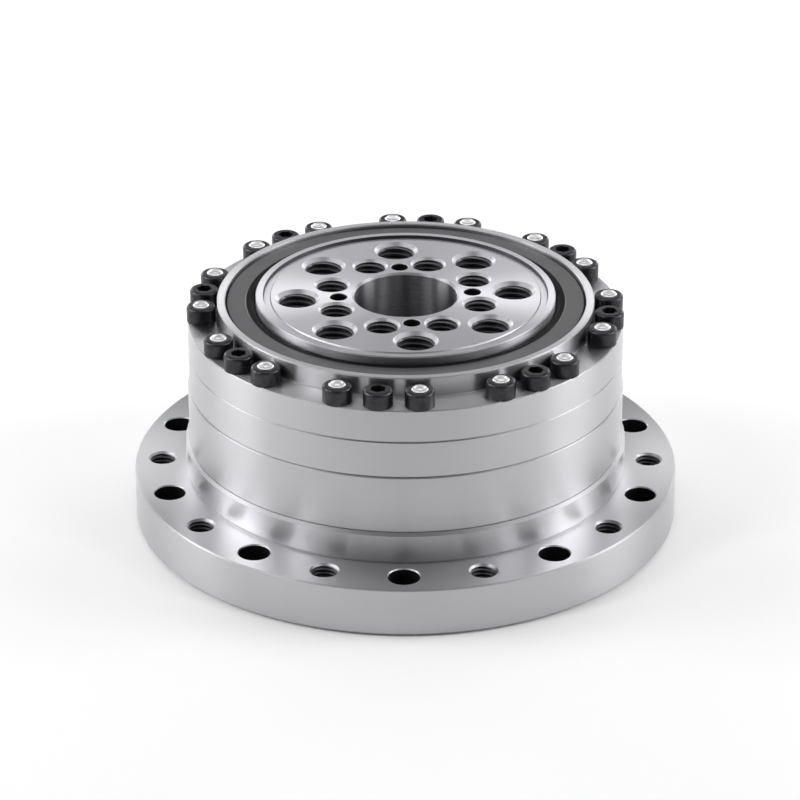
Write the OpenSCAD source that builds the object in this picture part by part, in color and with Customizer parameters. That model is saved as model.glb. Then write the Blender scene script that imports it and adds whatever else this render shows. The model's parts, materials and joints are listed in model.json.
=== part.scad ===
// Strain wave gear unit: a cup flexspline and an oval wave generator inside a
// flanged circular spline, with the load carried by a crossed roller bearing
// whose inner ring is the output flange. Millimetres, +Z is the output side,
// and the origin is the centre of the mounting flange's underside.

/* [Mounting flange] */
// Outside diameter of the mounting flange
flange_d = 160; // [156:0.5:172]
// Thickness of the mounting flange
flange_t = 14.6; // [13:0.1:18]
// Distance from the flange's edge to its bolt circle
flange_hole_inset = 8; // [7:0.1:9]
// Number of clearance holes, with as many tapped holes between them
flange_hole_count = 10; // [6:1:12]
// Diameter of each clearance hole
flange_hole_d = 9; // [7:0.1:10]
// Drilled diameter of each tapped hole
flange_tap_d = 6.8; // [5:0.1:8]
// Step from the spacer ring out to the register that locates the unit in its frame
pilot_step = 1.05; // [0.5:0.05:1.5]
// Height of the register above the flange
pilot_h = 9.4; // [8:0.1:12]

/* [Case rings] */
// Step from the bearing's outer rings out to the spacer ring
spacer_step = 0.35; // [0:0.05:1]
// Height of the spacer ring
spacer_h = 17.1; // [16:0.1:20]
// Outside diameter of the bearing's two outer ring halves
race_d = 126.8; // [126:0.1:128.5]
// Height of the lower outer ring half
lower_race_h = 10.9; // [10:0.1:13]
// Height of the upper outer ring half, up to the screw ledge
upper_race_h = 9.7; // [9:0.1:12]
// Width of the ledge round the raised shoulder that holds the oil seal
ledge_w = 8.65; // [8.5:0.05:9.2]
// Height of the raised shoulder above the screw ledge
shoulder_h = 5.9; // [5.5:0.1:8]
// Section diameter of the sealing rings between the case pieces
o_ring_d = 1.8; // [1.4:0.1:2]
// Section diameter of the sealing ring under the flange
base_o_ring_d = 2.4; // [2:0.1:3]

/* [Case screws] */
// Distance from the outer rings' edge to the circle of the case screws
screw_inset = 4.05; // [3.9:0.05:4.3]
// Thread diameter of a case screw
screw_d = 5; // [4:0.1:5]
// Length of a case screw under its head
screw_len = 50; // [48:0.5:52]
// Head diameter of a case screw
screw_head_d = 8.4; // [7:0.1:8.6]
// Head height of a case screw
screw_head_h = 4.8; // [4.2:0.1:5.2]
// Size of the hexagon key, across flats
screw_key = 4; // [3:0.1:4]
// Number of groups of three screws
screw_groups = 8; // [4:1:8]
// Angle from a screw to the next one in its group
screw_step = 11.2; // [10:0.1:13]
// Diameter of the domed plug in the outer screws of a group
plug_d = 4.7; // [4.2:0.1:5.2]
// Height of the domed plug above the screw head
plug_rise = 0.9; // [0.5:0.1:1.2]

/* [Output flange] */
// Diameter of the central bore
bore_d = 30; // [26:0.5:31]
// Height of the output face above the case
hub_proud = 0.5; // [0.2:0.1:2]
// Height of the outer rim above the output face
rim_step = 0.6; // [0.2:0.1:1.5]
// Diameter of the rim that the oil seal runs on
rim_d = 87; // [86:0.1:88]
// Outside diameter of the turned groove in the output face
groove_outer_d = 82.8; // [82:0.1:83.5]
// Outside diameter of the flat output face
face_d = 78.2; // [77:0.1:79]
// Depth of the turned groove below the output face
groove_depth = 0.4; // [0.2:0.1:1]
// Bolt circle of the load's tapped holes
load_pcd = 63; // [62:0.5:64]
// Number of the load's tapped holes
load_count = 8; // [4:1:8]
// Drilled diameter of each load hole
load_tap_d = 10.2; // [8.5:0.1:10.3]
// Depth of each load hole
load_tap_depth = 18; // [12:0.5:20]
// Circle of the cup's clamp bolts
clamp_pcd = 45; // [44:0.5:46]
// Thread diameter of a clamp bolt
clamp_bolt_d = 10; // [8:0.5:10]
// Head height of a clamp bolt
clamp_head_h = 7; // [5:0.5:8]
// Number of clamp bolts
clamp_count = 8; // [4:1:8]
// Circle of the dowel pins
dowel_pcd = 39; // [38.5:0.5:40]
// Diameter of a dowel pin
dowel_d = 5; // [4:0.1:5]
// Number of dowel pins
dowel_count = 4; // [2:1:4]

/* [Crossed roller bearing] */
// Circle of the roller centres
roller_pcd = 96.3; // [96:0.1:97]
// Diameter of a roller
roller_d = 6; // [5:0.1:6.2]
// Length of a roller
roller_len = 5.8; // [4.6:0.1:5.8]
// Number of rollers, every second one tilted the other way
roller_count = 40; // [20:2:40]
// Thickness of the separator between two rollers
separator_t = 1; // [0.6:0.1:1.1]
// Gap between the lands of the inner and outer rings
race_gap = 0.6; // [0.4:0.1:1]

/* [Gearing] */
// Tooth module
tooth_module = 1; // [0.98:0.005:1.01]
// Number of teeth on the cup
cup_teeth = 100; // [96:2:100]
// Length of the toothed band
tooth_len = 16.5; // [14:0.5:18]
// Tooth height outside the pitch line
addendum = 0.8; // [0.6:0.05:0.85]
// Tooth depth inside the pitch line
dedendum = 1; // [0.9:0.05:1.1]
// Angle of the tooth flanks
flank_angle = 25; // [20:1:28]
// Thickness of the cup under its teeth
band_wall = 1.2; // [1:0.1:1.5]
// Thickness of the cup's thin wall and diaphragm
cup_wall = 0.9; // [0.7:0.1:1.1]
// Radius of the cup's closed corner
cup_corner_r = 5; // [4:0.5:7]
// Diameter of the cup's thick boss
boss_d = 62; // [60:0.5:66]
// Thickness of the cup's boss
boss_t = 4.5; // [3.5:0.1:6]
// Thickness of the clamp ring under the bolt heads
clamp_ring_t = 3; // [2:0.1:4]

/* [Wave generator] */
// Width of the wave bearing
wave_bearing_w = 13; // [10:0.5:14]
// Diameter of a wave bearing ball
ball_d = 8.5; // [7:0.1:8.8]
// Number of wave bearing balls
ball_count = 24; // [16:4:24]
// Thickness of a race at the bottom of its groove
race_wall = 1.4; // [1:0.1:1.8]
// Thickness of the inner race at the bottom of its groove
inner_race_wall = 2.2; // [1.6:0.1:3]
// Thickness of the oval cam
cam_t = 12; // [10.5:0.5:13]
// Diameter of the recess that takes the coupling disc
cam_recess_d = 54; // [52:0.5:56]
// Outside diameter of the coupling disc
disc_d = 49; // [47:0.5:50]
// Thickness of the coupling disc
disc_t = 4.5; // [4:0.1:5.5]
// Width of the coupling's driving keys
key_w = 8; // [6:0.1:9]
// Outside diameter of the input hub
hub_d = 23; // [22:0.5:24]
// Bore of the input hub
hub_bore_d = 14; // [10:0.5:14]
// Width of the input hub's keyway
keyway_w = 5; // [3:0.5:5]
// Depth of the keyway beyond the bore
keyway_depth = 2.3; // [1.2:0.1:2.5]
// Thread diameter of a hub set screw
set_screw_d = 4; // [3:0.5:4]

/* [Hidden] */
$fn = 96;

// Clearances and small edges
edge = 0.8;            // chamfer on the flange and register edges
ring_edge = 0.3;       // chamfer where two case rings meet
press_play = 0.02;     // radial gap of a piece pressed into its seat
screw_play = 0.25;     // radial gap round a screw in a clearance hole
thread_play = 0.02;    // radial gap between a screw and its tapped hole
run_play = 0.1;        // gap between the seal lip and the turning rim
roller_play = 0.045;   // gap between a roller and its race
ball_play = 0.06;      // gap between a ball and its race
slide_play = 0.05;     // gap each side of a sliding key
cup_room = 1.5;        // radial room between the cup and the spacer ring
tooth_play = 0.04;     // backlash on each flank
ring_room = 0.15;      // room each side of a sealing ring in its groove
cut = 1;               // how far a cutting tool runs past the surface that it opens
small_fn = 48;

// Diameters of the case that follow the outer rings, and the flange's bolt circle
spacer_d = race_d + 2 * spacer_step;
pilot_d = spacer_d + 2 * pilot_step;
shoulder_d = race_d - 2 * ledge_w;
screw_pcd = race_d - 2 * screw_inset;
flange_pcd = flange_d - 2 * flange_hole_inset;

// Heights of the stacked case pieces
z_spacer = flange_t + pilot_h;
z_lower = z_spacer + spacer_h;
z_split = z_lower + lower_race_h;
z_ledge = z_split + upper_race_h;
z_top = z_ledge + shoulder_h;
z_face = z_top + hub_proud;
z_rim = z_face + rim_step;
seat_rise = 1.9;       // height of the cup's seat above the lower outer ring's foot
z_seat = z_lower + seat_rise;

// Angular places, from the front of the unit, that is from -Y towards +X
front = -90;
screw_phase = front - 7.05;
output_phase = front + 5.55;

// Gear geometry: two teeth of difference push the cup out by one module
fixed_teeth = cup_teeth + 2;
cup_pitch_r = tooth_module * cup_teeth / 2;
fixed_pitch_r = tooth_module * fixed_teeth / 2;
wave = fixed_pitch_r - cup_pitch_r;
fixed_root_r = fixed_pitch_r + dedendum;
tooth_relief = 0.5;    // how far the bore beside the teeth clears their roots
spline_bore_r = fixed_root_r + tooth_relief;
tooth_z = 3.2;
cup_root_r = cup_pitch_r - dedendum;
cup_bore_r = cup_root_r - band_wall;
cup_outer_r = cup_bore_r + cup_wall;
cup_mouth_z = 1.8;
band_edge = 0.5;       // plain band behind the teeth
band_top_z = tooth_z + tooth_len + band_edge;
spacer_bore_r = cup_outer_r + wave + cup_room;

// The oval is four arcs; every ring of the wave generator shares their centres
oval_shift = 2 * wave / (2 - sqrt(2));
function oval_r1(r) = r + wave - oval_shift;
function oval_r2(r) = r - wave + oval_shift;

// Point of the oval of mean radius r whose outward normal points along a
function oval_point(r, a) =
    let (n = [cos(a), sin(a)])
    abs(n.x) >= abs(n.y)
        ? [sign(n.x) * oval_shift, 0] + oval_r1(r) * n
        : [0, -sign(n.y) * oval_shift] + oval_r2(r) * n;

// Direction of the normal at a share s (0 to 1) of the way round the oval of mean radius r,
// counted from the nearer end of the long axis or, on the flatter sides, of the short axis
function oval_normal(r, s) =
    let (end = round(2 * s), side = floor(2 * s) + 0.5)
    abs(s - end / 2) <= oval_r1(r) / r / 8
        ? 180 * end + 360 * (s - end / 2) * r / oval_r1(r)
        : 180 * side + 360 * (s - side / 2) * r / oval_r2(r);

// Sealing rings: under the flange between bore and bolts, and between the case pieces
groove_wall = 1;
base_groove_r = (spline_bore_r + flange_pcd / 2 - flange_hole_d / 2) / 2;
case_groove_r = spline_bore_r + groove_wall + o_ring_d / 2;

// Wave bearing radii, all measured as the oval's mean radius
outer_race_r = cup_bore_r - press_play;
outer_groove_r = outer_race_r - race_wall;
ball_pitch_r = outer_groove_r - ball_play - ball_d / 2;
inner_groove_r = ball_pitch_r - ball_d / 2 - ball_play;
cam_r = inner_groove_r - inner_race_wall;
groove_half = 2.6;     // half the width of a ball groove
race_shoulder = ball_d / 2 - sqrt(pow(ball_d / 2, 2) - pow(groove_half, 2)) - ball_play;
wave_mid_z = tooth_z + tooth_len / 2;
wave_z = wave_mid_z - wave_bearing_w / 2;
cam_z = wave_mid_z - cam_t / 2;

// Sliding coupling between the input hub and the cam
disc_room = 0.3;       // axial room above and below the coupling disc
travel_room = 0.6;     // room for the coupling to shift along its keys
disc_z = cam_z + disc_room;
disc_bore_room = 2.5;  // room between the hub and the coupling disc's bore
disc_bore_d = hub_d + 2 * disc_bore_room;
recess_depth = disc_t + 2 * disc_room;
hub_key_reach = 18;    // how far the hub's keys reach from its axis
cam_key_reach = 20.6;  // how close the cam's keys come to the axis
cam_bore_room = 1.5;   // room between the hub and the cam's bore
cam_bore_d = hub_d + 2 * cam_bore_room;
hub_z = 0.8;
hub_tail = 4;          // how far the hub stands out of the cam
hub_top_z = cam_z + cam_t + hub_tail;
washer_t = 0.6;
washer_rim = 4;        // how far the washer reaches past the cam's bore
washer_z = cam_z + cam_t + run_play;
snap_t = 1.2;
snap_rim = 3;
snap_gap = 4;
snap_groove = 0.8;
snap_z = washer_z + washer_t + slide_play;

// Crossed roller race: a square groove standing on its corner
roller_r = roller_pcd / 2;
race_reach = (roller_d / 2 + roller_play) * sqrt(2);
inner_land_r = roller_r - race_gap / 2;
outer_land_r = roller_r + race_gap / 2;
land_h = 6;

// Oil seal, which is pressed into the raised shoulder
shoulder_wall = 2.35;
seal_bore_d = shoulder_d - 2 * shoulder_wall;
seal_recess = 1;
seal_h = 6;
seal_top_z = z_top - seal_recess;
seal_z = seal_top_z - seal_h;
seal_lip_r = rim_d / 2 + run_play;

// Cup root, clamp ring and bolts
boss_z = z_seat - boss_t;
clamp_z = boss_z - clamp_ring_t;
diaphragm_drop = 1.5;  // step from the boss down to the thin diaphragm
diaphragm_z = z_seat - diaphragm_drop;
corner_z = diaphragm_z - cup_corner_r;
boss_bore_d = bore_d + 1;
clamp_grip = 12;       // length of a clamp bolt inside the output flange
clamp_head_d = 1.45 * clamp_bolt_d;
clamp_phase = output_phase + 180 / clamp_count;

// Places n copies round a circle, the first at angle a0
module around(n, r, a0 = 0) {
    for (i = [0 : n - 1])
        rotate(a0 + i * 360 / n) translate([r, 0, 0]) children();
}

// Solid of revolution from a list of [radius, height] points
module turned(points) {
    rotate_extrude() polygon(points);
}

// Cutter for a through hole from z0 to z1 with 45 degree chamfers at its mouths
module drilled(d, z0, z1, top = 0, bottom = 0) {
    top_r = d / 2 + (top > 0 ? top + cut : 0);
    bottom_r = d / 2 + (bottom > 0 ? bottom + cut : 0);
    turned([
        [0, z0 - cut], [bottom_r, z0 - cut], [d / 2, z0 + bottom],
        [d / 2, z1 - top], [top_r, z1 + cut], [0, z1 + cut]
    ], $fn = small_fn);
}

// Cutter for a blind hole down from z to a drill point, with a chamfer at its mouth
module blind_hole(d, depth, z, mouth) {
    point_h = d / 2 / tan(59);
    turned([
        [0, z - depth - point_h], [d / 2, z - depth], [d / 2, z - mouth],
        [d / 2 + mouth + cut, z + cut], [0, z + cut]
    ], $fn = small_fn);
}

// Ring-shaped cut between two radii
module ring_cut(r_in, r_out, z0, h) {
    translate([0, 0, z0]) difference() {
        cylinder(r = r_out, h = h);
        translate([0, 0, -cut]) cylinder(r = r_in, h = h + 2 * cut);
    }
}

// Plane oval of mean radius r, made of four tangent arcs that meet at j and its mirrors
module oval(r) {
    j = 2 * oval_point(r, 45);
    for (side = [-1, 1]) {
        intersection() {
            translate([side * oval_shift, 0]) circle(r = oval_r1(r), $fn = 120);
            polygon([[0, 0], [side * j.x, -j.y], [side * j.x, j.y]]);
        }
        intersection() {
            translate([0, -side * oval_shift]) circle(r = oval_r2(r), $fn = 120);
            polygon([[0, -side * oval_shift], [-3 * r, side * (3 * r - oval_shift)],
                     [3 * r, side * (3 * r - oval_shift)]]);
        }
    }
}

// Ring between two ovals, from z0, h high
module oval_ring(r_out, r_in, z0, h) {
    translate([0, 0, z0]) linear_extrude(h) difference() {
        oval(r_out);
        oval(r_in);
    }
}

// Angles of the three screws in every group
function screw_angles(steps) =
    [for (g = [0 : screw_groups - 1], s = steps) screw_phase + g * 360 / screw_groups + s * screw_step];

module screw_holes(z0, z1, play) {
    for (a = screw_angles([-1, 0, 1]))
        rotate(a) translate([screw_pcd / 2, 0, z0])
            cylinder(d = screw_d + 2 * play, h = z1 - z0, $fn = small_fn);
}

// Outline of the hole inside the circular spline's teeth
function fixed_tooth_half(r) =
    tooth_module * PI / 4 + tooth_play - (r - fixed_pitch_r) * tan(flank_angle);
function fixed_outline() =
    let (tip = fixed_pitch_r - addendum)
    [for (i = [0 : fixed_teeth - 1], p = [[tip, -1], [fixed_root_r, -1], [fixed_root_r, 1], [tip, 1]])
        let (a = 360 * i / fixed_teeth + p[1] * asin(fixed_tooth_half(p[0]) / p[0]))
        p[0] * [cos(a), sin(a)]];

// Outline of the cup's teeth, standing square on its oval
function cup_tooth_half(v) = tooth_module * PI / 4 - tooth_play - v * tan(flank_angle);
function cup_outline() =
    let (neutral = cup_bore_r + band_wall / 2)
    [for (i = [0 : cup_teeth - 1], p = [[-dedendum, -1], [addendum, -1], [addendum, 1], [-dedendum, 1]])
        let (a = oval_normal(neutral, i / cup_teeth))
        oval_point(cup_pitch_r + p[0], a) + p[1] * cup_tooth_half(p[0]) * [-sin(a), cos(a)]];

// Flanged gear ring with internal teeth, drilled for the frame and tapped for the case screws
module circular_spline() {
    relief = 0.4;      // undercut at the foot of the register
    clear_mouth = 0.3;
    tap_mouth = 0.8;
    blank_r = fixed_pitch_r - addendum - cut;
    color("silver") difference() {
        turned([
            [blank_r, 0], [flange_d / 2 - edge, 0], [flange_d / 2, edge],
            [flange_d / 2, flange_t - edge], [flange_d / 2 - edge, flange_t],
            [pilot_d / 2 - relief, flange_t], [pilot_d / 2, flange_t + 2 * relief],
            [pilot_d / 2, z_spacer - edge], [pilot_d / 2 - edge, z_spacer],
            [blank_r, z_spacer]
        ]);
        translate([0, 0, -cut]) linear_extrude(z_spacer + 2 * cut) polygon(fixed_outline());
        translate([0, 0, -cut]) cylinder(r = spline_bore_r, h = tooth_z + cut);
        translate([0, 0, tooth_z + tooth_len]) cylinder(r = spline_bore_r, h = z_spacer);
        around(flange_hole_count, flange_pcd / 2, front)
            drilled(flange_hole_d, 0, flange_t, clear_mouth, clear_mouth);
        around(flange_hole_count, flange_pcd / 2, front + 180 / flange_hole_count)
            drilled(flange_tap_d, 0, flange_t, tap_mouth, tap_mouth);
        screw_holes(z_ledge - screw_len - cut, z_spacer + cut, thread_play);
        seal_groove(case_groove_r, o_ring_d, z_spacer - o_ring_d);
        seal_groove(base_groove_r, base_o_ring_d, -cut);
    }
}

// Groove for a sealing ring of section d, open at one end of its height
module seal_groove(r, d, z0) {
    half = d / 2 + ring_room;
    ring_cut(r - half, r + half, z0, d + cut);
}

module o_ring(r, d, z) {
    translate([0, 0, z]) rotate_extrude() translate([r, 0]) circle(d = d, $fn = 24);
}

module base_o_ring() {
    color("dimgray") o_ring(base_groove_r, base_o_ring_d, base_o_ring_d / 2);
}

module case_o_rings() {
    color("dimgray") for (z = [z_spacer, z_lower])
        o_ring(case_groove_r, o_ring_d, z - o_ring_d / 2);
}

// Plain ring that makes room for the cup between the gear and the bearing
module spacer_ring() {
    color("silver") difference() {
        turned([
            [spacer_bore_r, z_spacer], [spacer_d / 2 - ring_edge, z_spacer],
            [spacer_d / 2, z_spacer + ring_edge], [spacer_d / 2, z_lower - ring_edge],
            [spacer_d / 2 - ring_edge, z_lower], [spacer_bore_r, z_lower]
        ]);
        screw_holes(z_spacer - cut, z_lower + cut, screw_play);
        seal_groove(case_groove_r, o_ring_d, z_lower - o_ring_d);
    }
}

// Outer ring halves: each carries half of the roller groove
module lower_outer_ring() {
    color("silver") difference() {
        turned([
            [outer_land_r, z_lower], [race_d / 2 - ring_edge, z_lower],
            [race_d / 2, z_lower + ring_edge], [race_d / 2, z_split - ring_edge],
            [race_d / 2 - ring_edge, z_split], [roller_r + race_reach, z_split],
            [outer_land_r, z_split - race_reach + race_gap / 2]
        ]);
        screw_holes(z_lower - cut, z_split + cut, screw_play);
    }
}

module upper_outer_ring() {
    wall_foot = 0.4;
    color("silver") difference() {
        turned([
            [roller_r + race_reach, z_split], [race_d / 2 - ring_edge, z_split],
            [race_d / 2, z_split + ring_edge], [race_d / 2, z_ledge - ring_edge],
            [race_d / 2 - ring_edge, z_ledge], [shoulder_d / 2 + wall_foot, z_ledge],
            [shoulder_d / 2, z_ledge + wall_foot], [shoulder_d / 2, z_top - ring_edge],
            [shoulder_d / 2 - ring_edge, z_top], [seal_bore_d / 2 + ring_edge, z_top],
            [seal_bore_d / 2, z_top - ring_edge], [seal_bore_d / 2, seal_z],
            [outer_land_r, seal_z], [outer_land_r, z_split + race_reach - race_gap / 2]
        ]);
        screw_holes(z_split - cut, z_ledge + cut, screw_play);
    }
}

// Rubber lip seal between the shoulder and the turning rim. Each lip is listed as distance
// from the rim and height, the dust lip from the seal's top and the oil lip from its foot.
module oil_seal() {
    seal_edge = 0.7;
    seal_wall = 1.8;
    out = seal_bore_d / 2 - press_play;
    dust_lip = [[3, 0], [2.6, 0.3], [1.4, 0.3], [0.8, -0.2], [0, -0.9], [0, -1.4], [1.1, -2.2], [1.1, -3.2]];
    oil_lip = [[0, 1.6], [0, 1.2], [1, 0.6], [2.6, 0.6], [1.9, 1.1], [1.9, 2], [2.6, 2.5],
               [2.4, seal_h - seal_wall]];
    color("dimgray") turned(concat(
        [[out, seal_z], [out, seal_top_z - seal_edge], [out - seal_edge, seal_top_z]],
        [for (p = dust_lip) [seal_lip_r + p[0], seal_top_z + p[1]]],
        [for (p = oil_lip) [seal_lip_r + p[0], seal_z + p[1]]],
        [[out - seal_wall, seal_top_z - seal_wall], [out - seal_wall, seal_z]]
    ));
}

// Coiled spring that presses the lip, closed into a ring
module seal_garter_spring() {
    spring_d = 1;
    spring_room = 2.5; // from the rim to the middle of the spring
    spring_rise = 1.55;
    color("silver") o_ring(seal_lip_r + spring_room, spring_d, seal_z + spring_rise);
}

// Socket head cap screw standing on the ledge
module cap_screw() {
    tip_edge = 0.4;
    head_round = 0.9;
    key_depth = 2.5;
    difference() {
        turned(concat(
            [[0, -screw_len], [screw_d / 2 - tip_edge, -screw_len],
             [screw_d / 2, tip_edge - screw_len], [screw_d / 2, 0], [screw_head_d / 2, 0]],
            [for (a = [0 : 22.5 : 90])
                [screw_head_d / 2 - head_round * (1 - cos(a)), screw_head_h - head_round * (1 - sin(a))]],
            [[0, screw_head_h]]
        ), $fn = 48);
        translate([0, 0, screw_head_h - key_depth])
            cylinder(d = screw_key / cos(30), h = key_depth + cut, $fn = 6);
    }
}

module at_screws(steps) {
    for (a = screw_angles(steps))
        rotate(a) translate([screw_pcd / 2, 0, z_ledge]) children();
}

module case_screws_open() {
    color("dimgray") at_screws([0]) cap_screw();
}

module case_screws_plugged() {
    color("dimgray") at_screws([-1, 1]) cap_screw();
}

// Domed metal plug that closes the key of a screw
module screw_plugs() {
    dome_r = (pow(plug_d / 2, 2) + pow(plug_rise, 2)) / (2 * plug_rise);
    stem_len = 2;
    color("gainsboro") at_screws([-1, 1]) translate([0, 0, screw_head_h]) {
        intersection() {
            translate([0, 0, plug_rise - dome_r]) sphere(r = dome_r, $fn = 64);
            cylinder(d = 2 * plug_d, h = 2 * plug_rise, $fn = small_fn);
        }
        translate([0, 0, -stem_len])
            cylinder(d = screw_key - 2 * thread_play, h = stem_len + plug_rise / 2, $fn = small_fn);
    }
}

// Output flange, which is the inner ring of the crossed roller bearing
module output_flange() {
    bore_edge = 0.6;
    groove_slope = 0.3;
    load_mouth = 1.4;
    clamp_mouth = 1;
    dowel_mouth = 0.15;
    clamp_pitch = 1.5;
    clamp_tap_d = clamp_bolt_d - clamp_pitch;
    color("gainsboro") difference() {
        turned([
            [bore_d / 2, z_seat], [inner_land_r - ring_edge, z_seat],
            [inner_land_r, z_seat + ring_edge],
            [inner_land_r, z_split - race_reach + race_gap / 2], [roller_r - race_reach, z_split],
            [inner_land_r, z_split + race_reach - race_gap / 2],
            [inner_land_r, z_split + land_h], [rim_d / 2, z_split + land_h],
            [rim_d / 2, z_rim - ring_edge], [rim_d / 2 - ring_edge, z_rim],
            [groove_outer_d / 2, z_rim], [groove_outer_d / 2 - groove_slope, z_face - groove_depth],
            [face_d / 2 + groove_slope, z_face - groove_depth], [face_d / 2, z_face],
            [bore_d / 2 + bore_edge, z_face], [bore_d / 2, z_face - bore_edge]
        ]);
        around(load_count, load_pcd / 2, output_phase)
            blind_hole(load_tap_d, load_tap_depth, z_face, load_mouth);
        around(clamp_count, clamp_pcd / 2, clamp_phase) {
            drilled(clamp_bolt_d + 2 * thread_play, z_seat, z_seat + clamp_grip, 0);
            drilled(clamp_tap_d, z_seat + clamp_grip, z_face, clamp_mouth);
        }
        around(dowel_count, dowel_pcd / 2, output_phase)
            drilled(dowel_d + 2 * press_play, z_seat, z_face, dowel_mouth);
    }
}

// One roller of the crossed pair, tilted by 45 degrees
module roller(tilt) {
    translate([0, 0, z_split]) rotate([0, tilt, 0])
        cylinder(d = roller_d, h = roller_len, center = true, $fn = 48);
}

module rollers_left() {
    color("silver") around(roller_count / 2, roller_r) roller(45);
}

module rollers_right() {
    color("silver") around(roller_count / 2, roller_r, 360 / roller_count) roller(-45);
}

module roller_separators() {
    separator_d = roller_d - 1.6;
    color("ivory") around(roller_count, roller_r, 180 / roller_count)
        translate([0, 0, z_split]) rotate([90, 0, 0])
            cylinder(d = separator_d, h = separator_t, center = true, $fn = small_fn);
}

// Thin toothed cup; its open end is pressed to the shape of the wave generator
module flexspline() {
    skin = 0.1;        // the thin wall ends inside the thickness of the band and the corner
    boss_foot = 3;
    wall_in = cup_bore_r + skin;
    wall_out = cup_outer_r - skin;
    inner_corner_r = cup_corner_r - cup_wall;
    corner_x = cup_outer_r - cup_corner_r;
    color("lightsteelblue") {
        translate([0, 0, tooth_z]) linear_extrude(tooth_len) difference() {
            polygon(cup_outline());
            oval(cup_bore_r);
        }
        oval_ring(cup_root_r - skin, cup_bore_r, cup_mouth_z, tooth_z - cup_mouth_z);
        oval_ring(cup_root_r - skin, cup_bore_r, tooth_z + tooth_len, band_edge);
        oval_to_round(wall_out, wall_in, band_top_z, corner_z);
        difference() {
            rotate_extrude() union() {
                translate([corner_x, corner_z]) difference() {
                    intersection() {
                        circle(r = cup_corner_r, $fn = 64);
                        square(cup_corner_r);
                    }
                    circle(r = inner_corner_r, $fn = 64);
                }
                polygon([
                    [boss_bore_d / 2, boss_z], [boss_d / 2, boss_z],
                    [boss_d / 2 + boss_foot, diaphragm_z - cup_wall], [corner_x, diaphragm_z - cup_wall],
                    [corner_x, diaphragm_z], [boss_d / 2 + diaphragm_drop, diaphragm_z],
                    [boss_d / 2, z_seat], [boss_bore_d / 2, z_seat]
                ]);
            }
            around(clamp_count, clamp_pcd / 2, clamp_phase)
                drilled(clamp_bolt_d + 2 * screw_play, boss_z, z_seat, 0);
            around(dowel_count, dowel_pcd / 2, output_phase)
                drilled(dowel_d + 2 * press_play, boss_z, z_seat, 0);
        }
    }
}

// Wall that changes from the oval at z0 to a circle at z1
module oval_to_round(r_out, r_in, z0, z1) {
    n = 96;
    ring = [for (i = [0 : n - 1]) 360 * i / n];
    points = concat(
        [for (a = ring) concat(oval_point(r_out, a), z0)],
        [for (a = ring) [r_out * cos(a), r_out * sin(a), z1]],
        [for (a = ring) concat(oval_point(r_in, a), z0)],
        [for (a = ring) [r_in * cos(a), r_in * sin(a), z1]]
    );
    function strip(a, b) = [for (i = [0 : n - 1]) each
        [[a + i, b + i, b + (i + 1) % n], [a + i, b + (i + 1) % n, a + (i + 1) % n]]];
    polyhedron(points, concat(strip(0, n), strip(n, 3 * n), strip(3 * n, 2 * n), strip(2 * n, 0)));
}

// Ring that spreads the load of the bolt heads over the cup's boss
module clamp_ring() {
    rim_r = boss_d / 2 - 1;
    rim_edge = 0.6;
    color("silver") difference() {
        turned([
            [boss_bore_d / 2, clamp_z], [rim_r - rim_edge, clamp_z], [rim_r, clamp_z + rim_edge],
            [rim_r, boss_z], [boss_bore_d / 2, boss_z]
        ]);
        around(clamp_count, clamp_pcd / 2, clamp_phase)
            drilled(clamp_bolt_d + 2 * screw_play, clamp_z, boss_z, 0);
        around(dowel_count, dowel_pcd / 2, output_phase)
            drilled(dowel_d + 2 * press_play, clamp_z, boss_z, 0);
    }
}

module clamp_bolts() {
    bolt_edge = 0.6;
    clamp_key = 7;
    head_z = clamp_z - clamp_head_h;
    color("dimgray") around(clamp_count, clamp_pcd / 2, clamp_phase)
        difference() {
            turned([
                [0, head_z], [clamp_head_d / 2 - bolt_edge, head_z],
                [clamp_head_d / 2, head_z + bolt_edge], [clamp_head_d / 2, clamp_z],
                [clamp_bolt_d / 2, clamp_z], [clamp_bolt_d / 2, z_seat + clamp_grip - bolt_edge],
                [clamp_bolt_d / 2 - bolt_edge, z_seat + clamp_grip], [0, z_seat + clamp_grip]
            ], $fn = 48);
            translate([0, 0, head_z - cut])
                cylinder(d = clamp_key / cos(30), h = clamp_head_h / 2 + cut, $fn = 6);
        }
}

module dowel_pins() {
    sink = 0.3;
    reach = 9.3;       // how far a pin stands up into the output flange
    color("silver") around(dowel_count, dowel_pcd / 2, output_phase)
        translate([0, 0, clamp_z + sink])
            cylinder(d = dowel_d, h = z_seat + reach - clamp_z - sink, $fn = 48);
}

// Oval plug that presses the wave bearing into its shape
module wave_cam() {
    jack_hole_d = 3.3;
    jack_count = 4;
    jack_edge = 0.4;
    key_root = 1;
    key_len = cam_recess_d / 2 + key_root - cam_key_reach;
    color("silver") difference() {
        union() {
            difference() {
                translate([0, 0, cam_z]) linear_extrude(cam_t) oval(cam_r);
                translate([0, 0, cam_z - cut]) cylinder(d = cam_recess_d, h = recess_depth + cut);
            }
            for (side = [-1, 1])
                translate([side * (cam_key_reach + key_len / 2), 0, cam_z + disc_t / 2])
                    cube([key_len, key_w, disc_t], center = true);
        }
        translate([0, 0, cam_z]) cylinder(d = cam_bore_d, h = cam_t + cut);
        around(jack_count, (cam_recess_d / 2 + cam_r) / 2, 180 / jack_count)
            drilled(jack_hole_d, cam_z, cam_z + cam_t, jack_edge, jack_edge);
    }
}

// Race of the wave bearing with a square-bottomed ball groove
module grooved_race(land_out, land_in, groove_out, groove_in) {
    side_h = wave_bearing_w / 2 - groove_half;
    oval_ring(land_out, land_in, wave_z, side_h);
    oval_ring(groove_out, groove_in, wave_z + side_h, 2 * groove_half);
    oval_ring(land_out, land_in, wave_z + side_h + 2 * groove_half, side_h);
}

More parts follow.
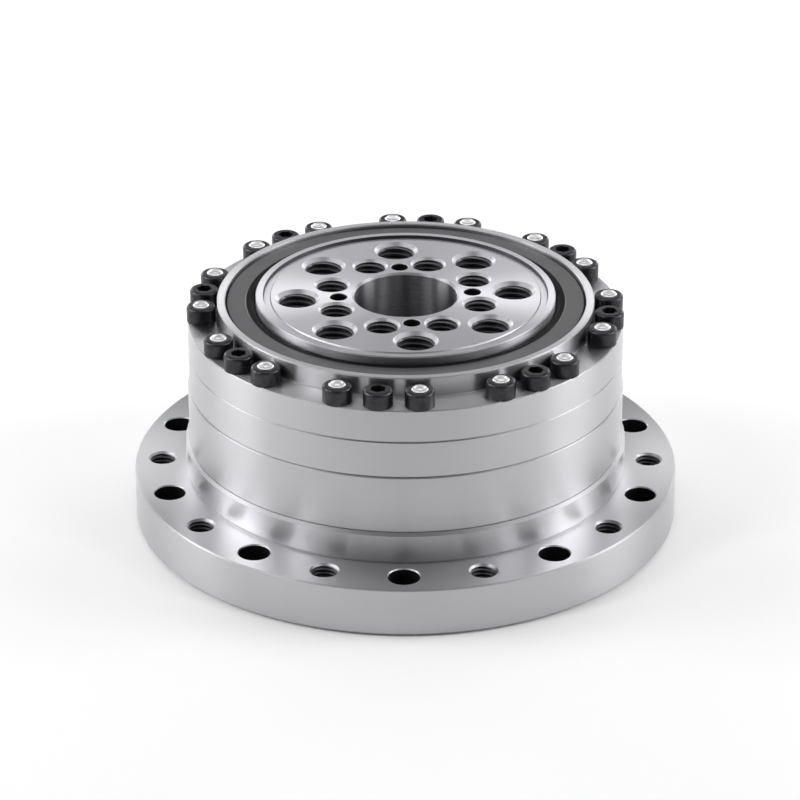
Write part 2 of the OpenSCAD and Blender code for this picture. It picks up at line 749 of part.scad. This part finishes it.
module wave_inner_race() {
    color("gainsboro")
        grooved_race(inner_groove_r + race_shoulder, cam_r, inner_groove_r, cam_r);
}

module wave_outer_race() {
    color("gainsboro")
        grooved_race(outer_race_r, outer_groove_r - race_shoulder, outer_race_r, outer_groove_r);
}

function ball_normal(i) = 360 * (i + 0.5) / ball_count;

module wave_balls() {
    color("white") for (i = [0 : ball_count - 1])
        let (p = oval_point(ball_pitch_r, ball_normal(i)))
        translate([p.x, p.y, wave_mid_z]) sphere(d = ball_d, $fn = 48);
}

// Moulded cage with one window for each ball
module wave_cage() {
    cage_half_w = 2.1;
    window_play = 0.15;
    cage_rim = 1.1;
    cage_h = ball_d + 2 * cage_rim;
    color("ivory") difference() {
        oval_ring(ball_pitch_r + cage_half_w, ball_pitch_r - cage_half_w, wave_mid_z - cage_h / 2, cage_h);
        for (i = [0 : ball_count - 1])
            let (a = ball_normal(i), p = oval_point(ball_pitch_r, a))
            translate([p.x, p.y, wave_mid_z]) rotate([0, 90, a])
                cylinder(d = ball_d + 2 * window_play, h = 3 * cage_half_w, center = true, $fn = small_fn);
    }
}

// Sliding disc of the coupling: two outer slots for the cam, two inner slots for the hub
module coupling_disc() {
    slot_w = key_w + 2 * slide_play;
    color("darkkhaki") translate([0, 0, disc_z]) linear_extrude(disc_t) difference() {
        circle(d = disc_d);
        circle(d = disc_bore_d);
        for (side = [-1, 1]) {
            translate([side * (cam_key_reach - travel_room + disc_d) / 2, 0])
                square([disc_d - cam_key_reach + travel_room, slot_w], center = true);
            translate([0, side * (hub_key_reach + travel_room) / 2])
                square([slot_w, hub_key_reach + travel_room], center = true);
        }
    }
}

// Input hub with keyway and two driving keys
module input_hub() {
    hub_edge = 0.5;
    bore_edge = 0.4;
    color("silver") difference() {
        union() {
            turned([
                [hub_bore_d / 4, hub_z], [hub_d / 2 - hub_edge, hub_z],
                [hub_d / 2, hub_z + hub_edge], [hub_d / 2, hub_top_z - hub_edge],
                [hub_d / 2 - hub_edge, hub_top_z], [hub_bore_d / 4, hub_top_z]
            ]);
            translate([0, 0, disc_z + disc_t / 2])
                cube([key_w, 2 * hub_key_reach, disc_t - 2 * disc_room], center = true);
        }
        drilled(hub_bore_d, hub_z, hub_top_z, bore_edge, bore_edge);
        translate([-keyway_w / 2, 0, hub_z - cut])
            cube([keyway_w, hub_bore_d / 2 + keyway_depth, hub_top_z - hub_z + 2 * cut]);
        ring_cut(hub_d / 2 - snap_groove, hub_d / 2 + cut, snap_z, snap_t + 2 * slide_play);
        at_set_screws() cylinder(d = set_screw_d + 2 * thread_play, h = hub_d, $fn = small_fn);
    }
}

// Two radial places, opposite the keyway
module at_set_screws() {
    margin = 0.5;
    for (a = [-45, -135])
        rotate(a) translate([0, 0, hub_z + margin + set_screw_d / 2]) rotate([0, 90, 0]) children();
}

module hub_set_screws() {
    sink = 0.5;
    len = hub_d / 2 - hub_bore_d / 2 - sink;
    color("dimgray") at_set_screws() translate([0, 0, hub_bore_d / 2]) difference() {
        cylinder(d = set_screw_d, h = len, $fn = small_fn);
        translate([0, 0, len / 2]) cylinder(d = set_screw_d / 2 / cos(30), h = len, $fn = 6);
    }
}

module hub_washer() {
    color("darkkhaki") translate([0, 0, washer_z]) difference() {
        cylinder(r = cam_bore_d / 2 + washer_rim, h = washer_t);
        translate([0, 0, -cut]) cylinder(r = hub_d / 2 + run_play, h = washer_t + 2 * cut);
    }
}

// Open retaining ring in the hub's groove
module hub_snap_ring() {
    color("dimgray") translate([0, 0, snap_z]) linear_extrude(snap_t) difference() {
        circle(r = hub_d / 2 + snap_rim);
        circle(r = hub_d / 2 - snap_groove + slide_play);
        translate([0, -snap_gap / 2]) square([hub_d, snap_gap]);
    }
}

circular_spline();
base_o_ring();
case_o_rings();
spacer_ring();
lower_outer_ring();
upper_outer_ring();
oil_seal();
seal_garter_spring();
case_screws_open();
case_screws_plugged();
screw_plugs();
output_flange();
rollers_left();
rollers_right();
roller_separators();
flexspline();
clamp_ring();
clamp_bolts();
dowel_pins();
wave_cam();
wave_inner_race();
wave_outer_race();
wave_balls();
wave_cage();
coupling_disc();
input_hub();
hub_washer();
hub_snap_ring();
hub_set_screws();
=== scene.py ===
"""Finish of the strain wave gear: turned and ground steel, black screws, seal, threads and studio."""

import json
import math

import bmesh
import bpy
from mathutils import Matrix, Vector


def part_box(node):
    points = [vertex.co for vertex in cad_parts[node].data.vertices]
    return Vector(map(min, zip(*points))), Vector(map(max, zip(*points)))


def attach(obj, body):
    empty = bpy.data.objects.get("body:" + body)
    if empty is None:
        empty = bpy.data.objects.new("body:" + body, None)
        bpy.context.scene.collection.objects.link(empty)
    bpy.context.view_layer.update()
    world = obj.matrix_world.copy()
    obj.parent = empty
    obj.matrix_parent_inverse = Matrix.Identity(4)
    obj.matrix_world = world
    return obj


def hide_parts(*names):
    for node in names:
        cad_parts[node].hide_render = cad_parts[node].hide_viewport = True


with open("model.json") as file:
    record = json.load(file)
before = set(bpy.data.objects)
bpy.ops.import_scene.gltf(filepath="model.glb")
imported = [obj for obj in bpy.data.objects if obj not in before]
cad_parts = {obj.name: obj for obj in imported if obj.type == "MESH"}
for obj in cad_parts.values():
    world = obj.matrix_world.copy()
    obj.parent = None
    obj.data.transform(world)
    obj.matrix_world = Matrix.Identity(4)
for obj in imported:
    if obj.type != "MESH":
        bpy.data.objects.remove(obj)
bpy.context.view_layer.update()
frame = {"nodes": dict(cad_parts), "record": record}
NODES = frame["nodes"]
MOUNTS = {m["name"]: m for m in frame["record"]["mounts"]}
MM = 0.001
AXIS = Vector((0, 0, 1))


# ---------------------------------------------------------------- sizes taken from the frame
def outer_radius(node):
    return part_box(node)[1].x


def top_z(node):
    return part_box(node)[1].z


FACE_Z = MOUNTS["output_face"]["pos_m"][2]
FLANGE_Z = 14.6 * MM
RIM_R = 43.5 * MM
FRONT_DEG = -90.0
OUTPUT_DEG = FRONT_DEG + 5.55


# ---------------------------------------------------------------- finishes
def new_finish(name, colour, metallic, roughness):
    """A material with one shader; returns both."""
    mat = bpy.data.materials.new(name)
    mat.use_nodes = True
    shader = mat.node_tree.nodes["Principled BSDF"]
    shader.inputs["Base Color"].default_value = (*colour, 1)
    shader.inputs["Metallic"].default_value = metallic
    shader.inputs["Roughness"].default_value = roughness
    return mat, shader


def node(mat, kind, **values):
    """Adds a node to a material or a world; a value sets the input or the setting of that name."""
    made = mat.node_tree.nodes.new(kind)
    for key, value in values.items():
        if key in made.inputs:
            made.inputs[key].default_value = value
        else:
            setattr(made, key, value)
    return made


def link(mat, a, b):
    mat.node_tree.links.new(a, b)


def maths(mat, operation, a, b=None):
    made = node(mat, "ShaderNodeMath", operation=operation)
    for socket, value in zip(made.inputs, (a, b)):
        if isinstance(value, (int, float)):
            socket.default_value = value
        elif value is not None:
            link(mat, value, socket)
    return made.outputs[0]


def ramp(mat, value, low, high, to_low, to_high):
    """Maps low..high to to_low..to_high and holds the ends."""
    made = node(mat, "ShaderNodeMapRange")
    made.inputs["From Min"].default_value = low
    made.inputs["From Max"].default_value = high
    made.inputs["To Min"].default_value = to_low
    made.inputs["To Max"].default_value = to_high
    link(mat, value, made.inputs["Value"])
    return made.outputs["Result"]


def place_on(mat):
    return node(mat, "ShaderNodeTexCoord").outputs["Object"]


def noise(mat, place, scale, detail, roughness=0.5):
    made = node(mat, "ShaderNodeTexNoise", Scale=scale, Detail=detail, Roughness=roughness)
    link(mat, place, made.inputs["Vector"])
    return made.outputs["Fac"]


def rgba(colour, factor=1.0):
    return (*[min(1, c * factor) for c in colour], 1)


def mix(mat, factor, a, b):
    """Goes from a, a colour or a socket, to the colour b as the factor goes from 0 to 1."""
    made = node(mat, "ShaderNodeMix", data_type="RGBA")
    if isinstance(a, tuple):
        made.inputs["A"].default_value = a
    else:
        link(mat, a, made.inputs["A"])
    made.inputs["B"].default_value = b
    link(mat, factor, made.inputs["Factor"])
    return made.outputs["Result"]


def bump(mat, shader, height, strength, distance):
    made = node(mat, "ShaderNodeBump", Strength=strength, Distance=distance)
    link(mat, height, made.inputs["Height"])
    link(mat, made.outputs[0], shader.inputs["Normal"])


def axis_distance(mat, place):
    """Distance from the gear axis, and height."""
    split = node(mat, "ShaderNodeSeparateXYZ")
    link(mat, place, split.inputs[0])
    x, y, z = split.outputs
    squares = maths(mat, "ADD", maths(mat, "MULTIPLY", x, x), maths(mat, "MULTIPLY", y, y))
    return maths(mat, "SQRT", squares), z


def turned_steel(name, colour, roughness, line_pitch, line_depth, anisotropy, wall_finer=0.0, painted_wall_shade=1.0):
    """Steel as a lathe leaves it: fine rings round the gear axis, roughest on chamfers, and darkest on
    chamfers as painted shade.

    Walls are smoother than faces by wall_finer, and carry painted shade: the wall factor scales their
    brightness.
    """
    # The chamfer factor darkens the chamfers as painted shade.
    stain, chamfer_painted_shade, chamfer_rougher = 0.03, 0.68, 0.14
    mat, shader = new_finish(name, colour, 1.0, roughness)
    place = place_on(mat)
    radius, z = axis_distance(mat, place)
    rings = node(mat, "ShaderNodeCombineXYZ")
    link(mat, maths(mat, "MULTIPLY", radius, 1 / line_pitch), rings.inputs[0])
    link(mat, maths(mat, "MULTIPLY", z, 1 / line_pitch), rings.inputs[1])
    fine = noise(mat, rings.outputs[0], 1.0, 3.0, 0.65)
    cloud = noise(mat, place, 28.0, 3.0)
    lean = node(mat, "ShaderNodeSeparateXYZ")
    link(mat, node(mat, "ShaderNodeTexCoord").outputs["Normal"], lean.inputs[0])
    slope = maths(mat, "ABSOLUTE", lean.outputs[2])
    off_wall, off_face = ramp(mat, slope, 0.3, 0.5, 0, 1), ramp(mat, slope, 0.85, 0.95, 1, 0)
    on_chamfer = maths(mat, "MULTIPLY", off_wall, off_face)

    lines = ramp(mat, fine, 0.3, 0.7, roughness - 0.03, roughness + 0.03)
    rough = maths(mat, "ADD", lines, ramp(mat, cloud, 0.35, 0.65, -0.02, 0.02))
    rough = maths(mat, "ADD", rough, maths(mat, "MULTIPLY", on_chamfer, chamfer_rougher))
    rough = maths(mat, "ADD", rough, ramp(mat, slope, 0.4, 0.8, -wall_finer, 0))
    link(mat, rough, shader.inputs["Roughness"])

    tone = mix(mat, ramp(mat, fine, 0.35, 0.65, 0, 1), rgba(colour, 1 - stain), rgba(colour))
    # Painted shade: walls darker than faces.
    if painted_wall_shade != 1:
        tone = mix(mat, ramp(mat, slope, 0.4, 0.8, 1, 0), tone, rgba(colour, painted_wall_shade))
    # Painted shade: chamfers darker than the rest of the steel.
    tone = mix(mat, on_chamfer, tone, rgba(colour, chamfer_painted_shade))
    link(mat, tone, shader.inputs["Base Color"])

    bump(mat, shader, fine, 1.0, line_depth)
    shader.inputs["Anisotropic"].default_value = anisotropy
    shader.inputs["Anisotropic Rotation"].default_value = 0.25
    radial = node(mat, "ShaderNodeTangent", direction_type="RADIAL", axis="Z")
    link(mat, radial.outputs[0], shader.inputs["Tangent"])
    return mat


def tapped_steel(name):
    """Walls of tapped holes: darker, as painted shade inside the holes."""
    mat, shader = new_finish(name, (0.15, 0.15, 0.16), 1.0, 0.45)
    cloud = noise(mat, place_on(mat), 700.0, 3.0)
    link(mat, ramp(mat, cloud, 0.3, 0.7, 0.38, 0.54), shader.inputs["Roughness"])
    return mat


def ground_steel(name, colour, roughness):
    """Hardened steel off a grinder or out of a tumbler, with faint clouds and specks."""
    mat, shader = new_finish(name, colour, 1.0, roughness)
    place = place_on(mat)
    cloud = noise(mat, place, 180.0, 4.0, 0.6)
    link(mat, ramp(mat, cloud, 0.3, 0.7, roughness - 0.04, roughness + 0.05), shader.inputs["Roughness"])
    bump(mat, shader, noise(mat, place, 2600.0, 2.0), 0.6, 4e-6)
    return mat


def black_oxide(name):
    """Blackened alloy steel: near black, oily sheen, rubbed a little where it varies."""
    mat, shader = new_finish(name, (0.035, 0.035, 0.04), 0.85, 0.34)
    place = place_on(mat)
    cloud = noise(mat, place, 320.0, 5.0, 0.6)
    rubbed = ramp(mat, cloud, 0.3, 0.75, 0, 1)
    tone = mix(mat, rubbed, (0.024, 0.024, 0.028, 1), (0.066, 0.065, 0.071, 1))
    link(mat, tone, shader.inputs["Base Color"])
    link(mat, ramp(mat, cloud, 0.3, 0.7, 0.28, 0.42), shader.inputs["Roughness"])
    bump(mat, shader, noise(mat, place, 3000.0, 2.0), 0.5, 8e-6)
    return mat


def moulded(name, colour, roughness, grain_scale, grain_depth, spread=0.25):
    """Rubber or plastic from a mould: slight tone changes and a fine grain."""
    mat, shader = new_finish(name, colour, 0.0, roughness)
    place = place_on(mat)
    cloud = noise(mat, place, 90.0, 4.0, 0.6)
    tone = mix(mat, ramp(mat, cloud, 0.3, 0.7, 0, 1), rgba(colour, 1 - spread), rgba(colour, 1 + spread))
    link(mat, tone, shader.inputs["Base Color"])
    link(mat, ramp(mat, cloud, 0.3, 0.7, roughness - 0.06, roughness + 0.08), shader.inputs["Roughness"])
    bump(mat, shader, noise(mat, place, grain_scale, 3.0), 0.6, grain_depth)
    return mat


def seal_with_painted_shade(name, lip_r, edge_r):
    """Moulded rubber, with painted shade: near black, with less reflection, in the groove by the turning rim
    and on the pressed edge.
    """
    mat = moulded(name, (0.068, 0.068, 0.072), 0.36, 2200.0, 0.5e-5)
    shader = mat.node_tree.nodes["Principled BSDF"]
    radius = axis_distance(mat, place_on(mat))[0]
    lip = ramp(mat, radius, lip_r + 2.8 * MM, lip_r + 3.2 * MM, 1, 0)
    pressed = ramp(mat, radius, edge_r - 0.8 * MM, edge_r - 0.6 * MM, 0, 1)
    # Painted shade: near black in the groove by the turning rim and on the seal's edge at the gap.
    dark = maths(mat, "MAXIMUM", lip, pressed)
    rubber = shader.inputs["Base Color"].links[0].from_socket
    link(mat, mix(mat, dark, rubber, (0.004, 0.004, 0.005, 1)), shader.inputs["Base Color"])
    # Less reflection where the shade is painted, so it stays dark.
    gloss = maths(mat, "SUBTRACT", 0.5, maths(mat, "MULTIPLY", dark, 0.46))
    link(mat, gloss, shader.inputs["Specular IOR Level"])
    return mat


FINISH = {
    # The case steel's walls carry painted shade at 0.8 of its brightness.
    "case_steel": turned_steel("turned_case_steel", (0.64, 0.638, 0.66), 0.38, 0.00016, 0.3e-6, 0.84,
                               wall_finer=0.05, painted_wall_shade=0.8),
    "output_steel": turned_steel("turned_output_steel", (0.6, 0.598, 0.635), 0.36, 0.00014, 0.3e-6, 0.88),
    "gear_steel": ground_steel("satin_gear_steel", (0.52, 0.52, 0.54), 0.3),
    "bearing_steel": ground_steel("ground_bearing_steel", (0.78, 0.78, 0.8), 0.12),
    "black_screw_steel": black_oxide("black_oxide_steel"),
    "bright_plug": ground_steel("polished_plug_metal", (0.8, 0.8, 0.81), 0.36),
    "seal_rubber": seal_with_painted_shade("nitrile_rubber", RIM_R, outer_radius("oil_seal")),
    "cage_plastic": moulded("cage_nylon", (0.72, 0.66, 0.5), 0.42, 1600.0, 1e-5, 0.06),
    "coupling_bronze": ground_steel("bearing_bronze", (0.62, 0.44, 0.22), 0.3),
}
TAPPED = tapped_steel("oiled_tapped_steel")
BORED = turned_steel("bored_steel", (0.46, 0.46, 0.48), 0.3, 0.0002, 0.3e-6, 0.95)
# Countersinks darker than the faces around them: painted shade.
SUNK = ground_steel("countersunk_steel", (0.42, 0.42, 0.44), 0.42)
# Near black walls of drilled holes: painted shade inside the holes.
DRILLED = ground_steel("dark_drilled_steel", (0.05, 0.05, 0.055), 0.5)
HOLE_FINISHES = [BORED, TAPPED, SUNK, DRILLED]
SLOT_OF = {row["node"]: row["material_slot"] for row in frame["record"]["subparts"]}


def dress_nodes():
    for name, obj in NODES.items():
        obj.data.materials.clear()
        obj.data.materials.append(FINISH[SLOT_OF[name]])


# ---------------------------------------------------------------- pieces
WELD = 0.005 * MM
ON_CIRCLE = 0.03 * MM
AT_HEIGHT = 0.05 * MM


def finish_piece(bm, name, body, slot, smooth_deg, finishes=None):
    """Turns a bmesh into a piece at the origin that rides on a body, smooth but for its edges.

    The normals that a node's copy brings along fit its old triangles, so they are dropped.
    """
    mesh = bpy.data.meshes.new(name)
    bm.to_mesh(mesh)
    bm.free()
    if "custom_normal" in mesh.attributes:
        mesh.attributes.remove(mesh.attributes["custom_normal"])
    obj = bpy.data.objects.new(name, mesh)
    bpy.context.scene.collection.objects.link(obj)
    for finish in finishes or [FINISH[slot]]:
        mesh.materials.append(finish)
    mesh.shade_smooth()
    mesh.set_sharp_from_angle(angle=math.radians(smooth_deg))
    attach(obj, body)
    return obj


def joined_copy(name):
    """A node's triangles as a closed mesh."""
    bm = bmesh.new()
    bm.from_mesh(NODES[name].data)
    bmesh.ops.remove_doubles(bm, verts=bm.verts, dist=WELD)
    return bm


def around(count, circle_r, first_deg):
    """Centres of a pattern of holes."""
    turns = [math.radians(first_deg + i * 360 / count) for i in range(count)]
    return [(circle_r * math.cos(a), circle_r * math.sin(a)) for a in turns]


def loop(bm, profile):
    """A closed loop of edges through points given as radius and height."""
    verts = [bm.verts.new((r, 0, z)) for r, z in profile]
    edges = [bm.edges.new(pair) for pair in zip(verts, verts[1:] + verts[:1])]
    return verts, edges


class Tapping:
    """One size of tapped hole: radii, pitch, the cone at each mouth and where the thread ends."""

    def __init__(self, centres, minor, major, pitch, bottom, top, mouth, through=False):
        self.centres, self.minor, self.major, self.pitch = centres, minor, major, pitch
        self.bottom, self.top, self.mouth, self.through = bottom, top, mouth, through

    def holds(self, point):
        """Whether a point is within the thread's root of one of the holes."""
        return any(math.hypot(point.x - x, point.y - y) < self.major for x, y in self.centres)

    def cone(self, z):
        """Radius of the countersink at a height; nothing stands further in than this."""
        r = self.minor + self.mouth - (self.top - z)
        if self.through:
            r = max(r, self.minor + self.mouth - (z - self.bottom))
        return r

    def open_wall(self, bm):
        """Moves a drilled wall out to the thread's root and the countersink's foot up to meet it."""
        deep = self.major - self.minor
        for v in bm.verts:
            for x, y in self.centres:
                dx, dy = v.co.x - x, v.co.y - y
                if abs(dx) > self.major or abs(dy) > self.major:
                    continue
                r = math.hypot(dx, dy)
                if abs(r - self.minor) < ON_CIRCLE:
                    if abs(v.co.z - (self.top - self.mouth)) < AT_HEIGHT:
                        v.co.z += deep
                    elif self.through and abs(v.co.z - (self.bottom + self.mouth)) < AT_HEIGHT:
                        v.co.z -= deep
                    v.co.x, v.co.y = x + dx * self.major / r, y + dy * self.major / r

    def collars(self, bm):
        """Foot of each countersink, which the thread's first turn still fills in near to the crest."""
        filled = 0.6
        lip, foot = 0.1 * MM, 0.3 * MM
        deep = (self.major - self.minor) * filled
        inner = self.major - deep
        left = self.mouth - (inner - self.minor)
        ends = [(self.top - left, 1)] + ([(self.bottom + left, -1)] if self.through else [])
        for z, up in ends:
            verts, edges = loop(bm, [(self.major, z + up * deep), (inner, z),
                                     (inner, z - up * lip), (self.major, z - up * foot)])
            bmesh.ops.spin(
                bm, geom=verts + edges, cent=(0, 0, z), axis=AXIS, dvec=(0, 0, 0),
                angle=2 * math.pi, steps=48, use_merge=True,
            )
        for face in bm.faces:
            face.material_index = 1

    def ridge(self, bm):
        """Helical ridge from the thread's root to its crest, cut back by the countersink."""
        steps_per_turn = 28
        sunk, end_play = 0.03 * MM, 0.05 * MM
        root, crest = 0.46 * self.pitch, 0.13 * self.pitch
        z = self.bottom
        turns = (self.top - z) / self.pitch
        before = len(bm.verts)
        verts, edges = loop(bm, [(self.major + sunk, z - root), (self.minor, z - crest),
                                 (self.minor, z + crest), (self.major + sunk, z + root)])
        swept = bmesh.ops.spin(
            bm, geom=verts + edges, cent=(0, 0, z), axis=AXIS,
            dvec=(0, 0, self.pitch / steps_per_turn), angle=turns * 2 * math.pi,
            steps=round(turns * steps_per_turn), use_merge=False,
        )
        bm.faces.new(verts)
        last = [e for e in swept["geom_last"] if isinstance(e, bmesh.types.BMEdge)]
        bmesh.ops.contextual_create(bm, geom=last)
        bm.verts.ensure_lookup_table()
        for v in bm.verts[before:]:
            r = math.hypot(v.co.x, v.co.y)
            least = self.cone(v.co.z) + sunk
            if self.cone(v.co.z) > self.minor and r < least:
                v.co.x, v.co.y = v.co.x * least / r, v.co.y * least / r
            v.co.z = min(max(v.co.z, self.bottom + end_play), self.top - end_play)

    def fill(self, bm):
        """Adds the thread of every hole of this size."""
        one = bmesh.new()
        self.collars(one)
        self.ridge(one)
        bmesh.ops.recalc_face_normals(one, faces=one.faces)
        mesh = bpy.data.meshes.new("one_thread")
        one.to_mesh(mesh)
        one.free()
        for x, y in self.centres:
            before = len(bm.verts)
            bm.from_mesh(mesh)
            bm.verts.ensure_lookup_table()
            bmesh.ops.translate(bm, verts=bm.verts[before:], vec=(x, y, 0))
        bpy.data.meshes.remove(mesh)


def ease_edge(bm, r, z, leg, eased):
    """Turns a chamfer round the gear axis into a smaller one."""
    for v in bm.verts:
        at = math.hypot(v.co.x, v.co.y)
        if abs(at - r) < ON_CIRCLE and abs(v.co.z - (z - leg)) < ON_CIRCLE:
            v.co.z = z - eased
        elif abs(at - (r - leg)) < ON_CIRCLE and abs(v.co.z - z) < ON_CIRCLE:
            v.co.x, v.co.y = v.co.x * (r - eased) / at, v.co.y * (r - eased) / at


def finish_holes(bm, holes, inner, outer, bore_r=0.0):
    """Gives the walls and countersinks between two radii, and the bore, their own finishes."""
    wall_lean, cone_lean = 0.3, 0.95
    bored, tapped, sunk, drilled = 1, 2, 3, 4
    for face in bm.faces:
        middle = face.calc_center_median()
        r, lean = math.hypot(middle.x, middle.y), abs(face.normal.z)
        if r < bore_r and lean < wall_lean:
            face.material_index = bored
        # Hole walls and countersinks take the darker finishes, which paint the shade inside the holes.
        elif inner < r < outer and lean < wall_lean:
            near = any(hole.holds(middle) for hole in holes)
            face.material_index = tapped if near else drilled
        elif inner < r < outer and lean < cone_lean:
            face.material_index = sunk


def tapped_pieces():
    """Output flange and gear ring with real threads in the holes that are open to view."""
    load = MOUNTS["output_load_holes"]["dims"]
    ring = MOUNTS["flange_tapped_holes"]["dims"]
    bore_r = MOUNTS["output_bore"]["dims"]["r_mm"] * MM
    load_holes = Tapping(
        around(count=8, circle_r=load["pcd_mm"] / 2 * MM, first_deg=OUTPUT_DEG),
        minor=load["hole_r_mm"] * MM, major=5.95 * MM, pitch=1.75 * MM,
        bottom=FACE_Z - 18 * MM, top=FACE_Z, mouth=1.4 * MM,
    )
    clamp_holes = Tapping(
        around(count=8, circle_r=22.5 * MM, first_deg=OUTPUT_DEG + 22.5),
        minor=4.25 * MM, major=4.98 * MM, pitch=1.5 * MM,
        bottom=top_z("clamp_bolts") + 0.3 * MM, top=FACE_Z, mouth=1.0 * MM,
    )
    flange_holes = Tapping(
        around(count=10, circle_r=ring["pcd_mm"] / 2 * MM, first_deg=FRONT_DEG + 18),
        minor=ring["hole_r_mm"] * MM, major=3.98 * MM, pitch=1.25 * MM,
        bottom=0.0, top=FLANGE_Z, mouth=0.8 * MM, through=True,
    )
    for name, body, slot, holes in (
        ("output_flange", "output", "output_steel", (load_holes, clamp_holes)),
        ("circular_spline", "housing", "case_steel", (flange_holes,)),
    ):
        bm = joined_copy(name)
        for hole in holes:
            hole.open_wall(bm)
        if body == "output":
            finish_holes(bm, holes, bore_r + 1.5 * MM, 42 * MM, bore_r)
        else:
            ease_edge(bm, outer_radius(name), FLANGE_Z, 0.8 * MM, 0.4 * MM)
            finish_holes(bm, holes, 67 * MM, 77.5 * MM)
        piece = finish_piece(bm, name + "_tapped", body, slot, 20, [FINISH[slot], *HOLE_FINISHES])
        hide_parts(name)
        threads = bmesh.new()
        for hole in holes:
            hole.fill(threads)
        finish_piece(threads, name + "_threads", body, slot, 40, [TAPPED, SUNK])


def cup_pieces():
    """The cup in two pieces: its oval wall goes round with the wave, its base turns with the output."""
    base_thickness = 6.5 * MM
    base_z = top_z("flexspline") - base_thickness
    parting = 0.01 * MM
    for name, body, keep_above in (
        ("flexspline_wall", "wave_generator", False),
        ("flexspline_base", "output", True),
    ):
        bm = joined_copy("flexspline")
        cut = bmesh.ops.bisect_plane(
            bm, geom=bm.verts[:] + bm.edges[:] + bm.faces[:], plane_no=AXIS,
            plane_co=(0, 0, base_z + (parting if keep_above else -parting)),
            clear_inner=keep_above, clear_outer=not keep_above,
        )
        rim = [e for e in cut["geom_cut"] if isinstance(e, bmesh.types.BMEdge)]
        bmesh.ops.bridge_loops(bm, edges=rim)
        bmesh.ops.recalc_face_normals(bm, faces=bm.faces)
        piece = finish_piece(bm, name, body, "gear_steel", 30)
        if keep_above:
            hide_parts("flexspline")


# ---------------------------------------------------------------- studio
def lamp(name, place, aim, width, depth, watts):
    data = bpy.data.lights.new(name, "AREA")
    data.shape = "RECTANGLE"
    data.size, data.size_y = width, depth
    data.energy = watts
    obj = bpy.data.objects.new(name, data)
    bpy.context.scene.collection.objects.link(obj)
    obj.location = place
    obj.rotation_euler = (Vector(aim) - Vector(place)).to_track_quat("-Z", "Y").to_euler()


def pale_floor():
    mat, shader = new_finish("pale_floor_paint", (0.92, 0.92, 0.92), 0.0, 0.9)
    bump(mat, shader, noise(mat, place_on(mat), 300.0, 2.0), 0.1, 1e-5)
    bm = bmesh.new()
    bmesh.ops.create_grid(bm, x_segments=1, y_segments=1, size=6.0)
    mesh = bpy.data.meshes.new("floor")
    bm.to_mesh(mesh)
    bm.free()
    floor = bpy.data.objects.new("floor", mesh)
    bpy.context.scene.collection.objects.link(floor)
    floor.location.z = -0.2 * MM
    mesh.materials.append(mat)


def room():
    """A plain room: darker in front, in the middle and overhead, so that the walls shade round."""
    world = bpy.data.worlds.new("studio_room")
    bpy.context.scene.world = world
    world.use_nodes = True
    background = world.node_tree.nodes["Background"]
    way = node(world, "ShaderNodeSeparateXYZ")
    link(world, node(world, "ShaderNodeTexCoord").outputs["Generated"], way.inputs[0])
    x, y, z = way.outputs
    side = ramp(world, maths(world, "ABSOLUTE", x), 0.12, 0.62, 0.34, 1.0)
    front = ramp(world, y, -0.9, 0.1, 0.25, 1.0)
    height = ramp(world, z, 0.0, 0.8, 0.9, 0.5)
    strength = maths(world, "MULTIPLY", maths(world, "MULTIPLY", side, front), height)
    link(world, strength, background.inputs["Strength"])
    background.inputs["Color"].default_value = (1, 1, 1, 1)


def studio():
    """Pale floor, plain room, and soft light from above, behind and both sides."""
    pale_floor()
    room()
    aim = (0, 0, 0.04)
    for name, place, width, depth, watts in (
        ("top_softbox", (0.0, 0.1, 1.35), 1.1, 0.8, 4.2),
        ("left_softbox", (-0.8, 0.0, 0.3), 0.4, 0.5, 3.7),
        ("right_softbox", (0.8, 0.0, 0.3), 0.4, 0.5, 3.7),
        ("back_left_softbox", (-0.5, 0.8, 0.3), 0.5, 0.4, 1.9),
        ("back_right_softbox", (0.5, 0.8, 0.3), 0.5, 0.4, 1.9),
        ("back_panel", (0.0, 0.13, 0.135), 0.16, 0.03, 0.02),
        ("front_left_strip", (-0.75, -0.43, 0.8), 0.08, 0.6, 2.0),
        ("front_right_strip", (0.75, -0.43, 0.8), 0.08, 0.6, 1.4),
    ):
        lamp(name, place, aim, width, depth, watts)


def camera():
    elevation, azimuth = math.radians(26.3), math.radians(0.41)
    distance, focal_px, image_px, sensor = 1.0443, 3546.3, 800, 36.0
    aim_right, aim_up = -1.62 * MM, 33.89 * MM
    sideways = Vector((math.cos(azimuth), math.sin(azimuth), 0))
    aim = sideways * aim_right + AXIS * aim_up
    level = Vector((math.sin(azimuth), -math.cos(azimuth), 0))
    back = level * math.cos(elevation) + AXIS * math.sin(elevation)
    data = bpy.data.cameras.new("camera")
    data.sensor_width = sensor
    data.lens = focal_px * sensor / image_px
    data.clip_start, data.clip_end = 0.05, 50
    obj = bpy.data.objects.new("camera", data)
    bpy.context.scene.collection.objects.link(obj)
    obj.location = aim + back * distance
    obj.rotation_mode = "QUATERNION"
    obj.rotation_quaternion = (-back).to_track_quat("-Z", "Y")
    bpy.context.scene.camera = obj


dress_nodes()
tapped_pieces()
cup_pieces()
studio()
camera()
bpy.context.scene.view_settings.view_transform = "Standard"
